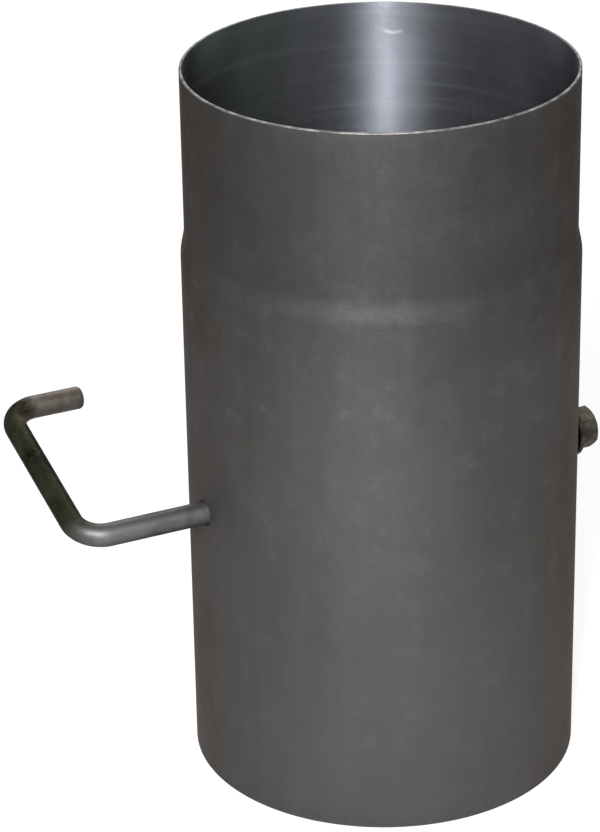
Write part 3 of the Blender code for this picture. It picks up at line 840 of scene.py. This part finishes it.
# Sheet-metal pieces
def saddle_profile(half_width):
    """The sheet's face towards the spindle: flat, bend, half-round saddle, bend, flat."""
    foot = SEAT_GAP / 2
    saddle = ROD_RADIUS + SEAT_GAP
    bend = SHEET_BEND + SHEET
    reach = saddle + bend
    bend_y = sqrt(reach ** 2 - (foot + bend) ** 2)
    lean = asin((foot + bend) / reach)
    right = round_corner((bend_y, foot + bend), bend, -pi / 2, lean - pi, SHEET_BEND_STEPS)
    middle = round_corner((0, 0), saddle, lean, pi - lean, SADDLE_STEPS)
    left = round_corner((-bend_y, foot + bend), bend, -lean, -pi / 2, SHEET_BEND_STEPS)
    return [(half_width, foot), *right, *middle[1:-1], *left, (-half_width, foot)]


def sheet_piece(name, half_width, start, end, corner, material):
    """A sheet drawn along the spindle from its profile, thickened away from it."""
    bm = bmesh.new()
    points = [bm.verts.new((start, y, z)) for y, z in saddle_profile(half_width)]
    edges = [bm.edges.new(pair) for pair in zip(points, points[1:])]
    drawn = bmesh.ops.extrude_edge_only(bm, edges=edges)["geom"]
    moved = [item for item in drawn if isinstance(item, bmesh.types.BMVert)]
    bmesh.ops.translate(bm, verts=moved, vec=(end - start, 0, 0))
    if corner:
        corners = [vert for vert in bm.verts if len(vert.link_edges) == 2]
        bmesh.ops.bevel(
            bm, geom=corners, offset=corner, segments=CLIP_CORNER_STEPS, profile=0.5, affect="VERTICES",
        )
    bm.normal_update()
    widest = max(bm.faces, key=lambda face: face.calc_area())
    if widest.normal.z > 0:
        bmesh.ops.reverse_faces(bm, faces=bm.faces)
    sheet = mesh_piece(name, bm, [material])
    solidify = sheet.modifiers.new("sheet", "SOLIDIFY")
    solidify.thickness = SHEET
    solidify.offset = -1
    solidify.use_even_offset = True
    return sheet


def screw_bores():
    radius = SCREW_RADIUS + SEAT_GAP
    return [
        cylinder(f"bore_{x}_{y}", radius, -SCREW_LENGTH, SCREW_LENGTH, (x, y), BORE_STEPS)
        for x, y in SCREW_PLACES
    ]


def make_blade(material):
    """The pressed sheet cut to a round outline, with a relief bite on each side and the screws' holes."""
    blade = sheet_piece("blade_sheet", BORE_RADIUS, -BLADE_END, BLADE_END, 0, material)
    outline = cylinder("outline", BLADE_RADIUS, -CUTTER_REACH, CUTTER_REACH, steps=BLADE_STEPS)
    bites = [
        cylinder("bite", BLADE_RELIEF_RADIUS, -CUTTER_REACH, CUTTER_REACH, (0, y), BITE_STEPS)
        for y in (-BLADE_RADIUS, BLADE_RADIUS)
    ]
    bores = screw_bores()
    add_boolean(blade, outline, "INTERSECT")
    for helper in bites + bores:
        add_boolean(blade, helper, "DIFFERENCE")
    add_bevel(blade, BLADE_EDGE)
    apply_modifiers(blade, outline, *bites, *bores)
    blade.matrix_world = SPIN
    finish_piece(blade, "damper", "sheet_steel", "damper_blade")
    keep_flat_faces(blade)


def make_clips(material):
    """Two straps of the blade's profile, turned over the spindle to clamp it."""
    for side, word in ((-1, "handle_side"), (1, "spring_side")):
        start = side * CLIP_SPREAD - CLIP_WIDTH / 2
        clip = sheet_piece(f"clip_{word}", CLIP_EAR, start, start + CLIP_WIDTH, CLIP_CORNER, material)
        clip.data.transform(Matrix.Diagonal((1, -1, -1, 1)))
        bores = screw_bores()
        for helper in bores:
            add_boolean(clip, helper, "DIFFERENCE")
        add_bevel(clip, CLIP_EDGE)
        apply_modifiers(clip, *bores)
        clip.matrix_world = SPIN
        finish_piece(clip, "damper", "sheet_steel", f"saddle_clip_{word}")
        keep_flat_faces(clip)


# Fasteners
def hex_rings(flats, low, high, chamfer_high):
    """Rings of a hexagon bar along Z, its corners chamfered at the low end or at both ends."""
    corner = flats / sqrt(3)
    drop = (corner - flats / 2) * tan(HEX_CHAMFER)
    rings = []

    def ring(height, limit):
        points = []
        for step in range(HEX_STEPS):
            angle = 2 * pi * step / HEX_STEPS
            side = (angle + pi / 6) % (pi / 3) - pi / 6
            radius = min(flats / 2 / cos(side), limit)
            points.append((radius * cos(angle), radius * sin(angle), height))
        return points

    for level in range(CHAMFER_LEVELS):
        share = level / CHAMFER_LEVELS
        rings.append(ring(low + drop * share, flats / 2 + (corner - flats / 2) * share))
    rings.append(ring(low + drop, corner))
    if chamfer_high:
        rings.append(ring(high - drop, corner))
        for level in range(CHAMFER_LEVELS):
            share = 1 - (level + 1) / CHAMFER_LEVELS
            rings.append(ring(high - drop * share, flats / 2 + (corner - flats / 2) * share))
    else:
        rings.append(ring(high, corner))
    return rings


def hex_nut(name, flats, height, bore, materials):
    """A nut along Z: chamfered hexagon outside, countersunk bore inside."""
    bm = bmesh.new()
    rings = hex_rings(flats, 0, height, True)
    sink = NUT_SINK * bore
    angles = [2 * pi * step / HEX_STEPS for step in range(HEX_STEPS)]
    for radius, level in ((bore + sink, height), (bore, height - sink), (bore, sink), (bore + sink, 0)):
        rings.append([(radius * cos(a), radius * sin(a), level) for a in angles])
    rings_to_mesh(bm, rings, loop=True)
    return mesh_piece(name, bm, materials)


def screw_rings(low, high):
    """Rings of a screw's threaded shank along Z, with a chamfered end."""
    count = int((high - low) / SCREW_PITCH * THREAD_RINGS)
    rings = []
    for step in range(count + 1):
        height = low + (high - low) * step / count
        chamfer = max(0.0, SCREW_CHAMFER - (high - height))
        ring = []
        for side in range(SCREW_SIDES):
            angle = 2 * pi * side / SCREW_SIDES
            cut = SCREW_DEPTH * thread_flank(height / SCREW_PITCH + angle / (2 * pi))
            reach = SCREW_RADIUS - max(cut, chamfer)
            ring.append((reach * cos(angle), reach * sin(angle), height))
        rings.append(ring)
    return rings


def screw_mesh():
    """A hexagon screw along Z with its bearing face at 0."""
    bm = bmesh.new()
    rings_to_mesh(bm, hex_rings(SMALL_FLATS, -SCREW_HEAD_HEIGHT, 0, False), loop=False)
    head = mesh_piece("screw", bm, [])
    bm = bmesh.new()
    rings_to_mesh(bm, screw_rings(-SCREW_SUNK, SCREW_LENGTH), loop=False)
    shank = mesh_piece("shank", bm, [])
    add_boolean(head, shank, "UNION")
    return apply_modifiers(head, shank)


def lock_washer_mesh():
    """A split spring washer along Z, its ends sprung apart a little."""
    inner = SCREW_RADIUS + LOCK_CLEARANCE
    corners = ((inner, 0), (LOCK_RADIUS, 0), (LOCK_RADIUS, LOCK_THICKNESS), (inner, LOCK_THICKNESS))
    bm = bmesh.new()
    rings = []
    for step in range(LOCK_STEPS + 1):
        share = step / LOCK_STEPS
        angle = LOCK_GAP / 2 + (2 * pi - LOCK_GAP) * share
        lift = LOCK_SPRUNG * (2 * share - 1)
        rings.append([(radius * cos(angle), radius * sin(angle), z + lift) for radius, z in corners])
    rings_to_mesh(bm, rings, loop=False)
    washer = mesh_piece("lock_washer", bm, [])
    add_bevel(washer, LOCK_EDGE)
    return apply_modifiers(washer)


def place_fasteners(pattern, name, foot, slot, material):
    """Four copies of a pattern at the clips' screws, each standing for its own CAD node."""
    pattern.data.materials.append(material)
    for number, (x, y) in enumerate(SCREW_PLACES, 1):
        turn = Matrix.Rotation(radians(FASTENER_TURN * number), 4, "Z")
        copy = link_object(f"{name}_part_{number}", pattern.data.copy(), [])
        copy.matrix_world = SPIN @ Matrix.Translation((x, y, foot)) @ turn
        finish_piece(copy, "damper", slot, f"{name}_{number}", sharp=SHARP_FLATS)
    bpy.data.objects.remove(pattern, do_unlink=True)


def make_clip_fasteners(plated, sprung):
    place_fasteners(screw_mesh(), "clip_screw", UNDER_HEAD, "zinc_steel", plated)
    place_fasteners(lock_washer_mesh(), "clip_lock_washer", LOCK_FOOT, "spring_steel", sprung)
    nut = hex_nut("nut", SMALL_FLATS, SMALL_NUT_HEIGHT, SCREW_RADIUS + THREAD_CLEARANCE, [])
    place_fasteners(nut, "clip_nut", CLIP_NUT_FOOT, "zinc_steel", plated)


# Spindle end
def span(name):
    """Where a CAD node on the spindle starts and ends along it, and its radius."""
    low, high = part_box(name)
    return low.x - SPINDLE.x, high.x - SPINDLE.x, (high.z - low.z) / 2


def make_washer(name, piece_name, body, material):
    """A stamped washer: rounded edge on the punch side, small chamfer on the other."""
    start, end, radius = span(name)
    edge = WASHER_ROUND * (end - start)
    outline = [(start, WASHER_BORE)]
    outline += round_corner((start + edge, radius - edge), edge, pi, pi / 2, WASHER_ROUND_STEPS)
    outline += [(end - WASHER_CHAMFER, radius), (end, radius - WASHER_CHAMFER)]
    outline += [(end, WASHER_BORE + WASHER_CHAMFER), (end - WASHER_CHAMFER, WASHER_BORE)]
    bm = bmesh.new()
    rings_to_mesh(bm, turned_ring(outline, WASHER_STEPS), loop=True)
    washer = mesh_piece(piece_name, bm, [material])
    washer.matrix_world = SPIN
    finish_piece(washer, body, "zinc_steel", name)


def make_spring(material):
    """The compressed spring: round wire in a helix, its ends cut square."""
    start, end, _ = span("friction_spring")
    wire = SPRING_WIRE / 2
    radius = SPRING_RADIUS - wire
    rise = end - start - SPRING_WIRE
    bm = bmesh.new()
    rings = []
    count = int(SPRING_TURNS * SPRING_STEPS)
    for step in range(count + 1):
        share = step / count
        angle = 2 * pi * SPRING_TURNS * share
        centre = Vector((start + wire + rise * share, radius * cos(angle), radius * sin(angle)))
        outward = Vector((0, cos(angle), sin(angle)))
        ring = []
        for side in range(WIRE_SIDES):
            turn = 2 * pi * side / WIRE_SIDES
            ring.append(centre + outward * (wire * cos(turn)) + Vector((1, 0, 0)) * (wire * sin(turn)))
        rings.append(ring)
    rings_to_mesh(bm, rings, loop=False)
    spring = mesh_piece("spring_coil", bm, [material])
    spring.matrix_world = SPIN
    finish_piece(spring, "damper", "spring_steel", "friction_spring")


def make_retaining_nut(material):
    start, end, _ = span("retaining_nut")
    nut = hex_nut("end_nut", NUT_FLATS, end - start, ROD_RADIUS + THREAD_CLEARANCE, [material])
    nut.matrix_world = SPIN @ Matrix.Translation((start, 0, 0)) @ Matrix.Rotation(pi / 2, 4, "Y")
    finish_piece(nut, "damper", "zinc_steel", "retaining_nut", sharp=SHARP_FLATS)


# Floor, light and world
def seen_by_camera(tree):
    """1 where the camera looks, also by a reflection or through something clear, and 0 for other light."""
    rays = node(tree, "ShaderNodeLightPath")
    seen = maths(tree, "MAXIMUM", rays.outputs["Is Camera Ray"], rays.outputs["Is Glossy Ray"])
    return maths(tree, "MAXIMUM", seen, rays.outputs["Is Transmission Ray"])


def make_floor():
    """A plain floor that takes shadows, and is lifted to white where the camera sees it."""
    material, tree, shader = new_material("floor")
    tree.nodes.remove(shader)
    plain = node(tree, "ShaderNodeBsdfDiffuse", {"Color": grey(FLOOR_TONE)})
    strength = maths(tree, "MULTIPLY", seen_by_camera(tree), FLOOR_LIFT)
    lift = node(tree, "ShaderNodeEmission", {"Color": grey(1.0), "Strength": strength})
    both = node(tree, "ShaderNodeAddShader", {0: plain.outputs[0], 1: lift.outputs[0]})
    tree.links.new(both.outputs[0], tree.nodes["Material Output"].inputs["Surface"])
    bm = bmesh.new()
    bmesh.ops.create_circle(bm, cap_ends=True, segments=96, radius=FLOOR_RADIUS)
    floor = mesh_piece("floor", bm, [material])
    floor.location = (0, 0, -FLOOR_GAP)


def make_world():
    world = bpy.data.worlds.new("studio")
    bpy.context.scene.world = world
    world.use_nodes = True
    tree = world.node_tree
    background = tree.nodes["Background"]
    extra = maths(tree, "MULTIPLY", seen_by_camera(tree), 1 - WORLD_LIGHT)
    tree.links.new(maths(tree, "ADD", extra, WORLD_LIGHT), background.inputs["Strength"])
    background.inputs["Color"].default_value = grey(1.0)


def add_lamp(name, azimuth, elevation, distance, size, watts, height=0.12):
    """A soft lamp aimed at the pipe, from degrees to the camera's left and degrees above level."""
    aim = PIPE_AXIS + Vector((0, 0, height))
    turn = CAMERA_AZIMUTH + radians(azimuth)
    rise = radians(elevation)
    away = Vector((-sin(turn) * cos(rise), -cos(turn) * cos(rise), sin(rise)))
    lamp = bpy.data.lights.new(name, "AREA")
    lamp.shape = "RECTANGLE"
    lamp.size, lamp.size_y = size
    lamp.energy = watts
    lamp.color = LAMP_COLOUR
    holder = bpy.data.objects.new(name, lamp)
    holder.visible_camera = False
    holder.location = aim + away * distance
    holder.rotation_euler = (-away).to_track_quat("-Z", "Y").to_euler()
    bpy.context.scene.collection.objects.link(holder)


make_camera()
make_floor()
make_world()
add_lamp("strip", 3, 0, 0.28, (0.07, 0.34), 0.25, height=0.062)
add_lamp("key", 3, 31, 0.9, (0.036, 0.45), 10.5, height=0.22)
add_lamp("glow", 8, 31, 0.9, (0.52, 0.45), 10, height=0.22)
add_lamp("back", 180, 35, 2.4, (1.2, 0.8), 26)
add_lamp("left", 118, 8, 2.4, (1.2, 0.8), 4)
add_lamp("right", -118, 8, 2.4, (1.2, 0.8), 6)

cut_edge = cut_steel()
inner_face = inner_steel()
outer_face = outer_steel()
sheet_steel = blade_steel()
plated_steel = small_steel("plated_steel", 0.022, 0.062, 0.45, 0.32)
sprung_steel = small_steel("sprung_steel", 0.06, 0.11, 0.38, 0.05)

make_pipe(outer_face, cut_edge, inner_face)
make_weld(outer_face, inner_face)
make_rod()
make_blade(sheet_steel)
make_clips(sheet_steel)
make_clip_fasteners(plated_steel, sprung_steel)
make_washer("inner_washer", "inner_ring", "pipe", plated_steel)
make_washer("wall_washer", "wall_ring", "pipe", plated_steel)
make_washer("outer_washer", "outer_ring", "damper", plated_steel)
make_spring(sprung_steel)
make_retaining_nut(plated_steel)

bpy.context.scene.view_settings.view_transform = "Standard"
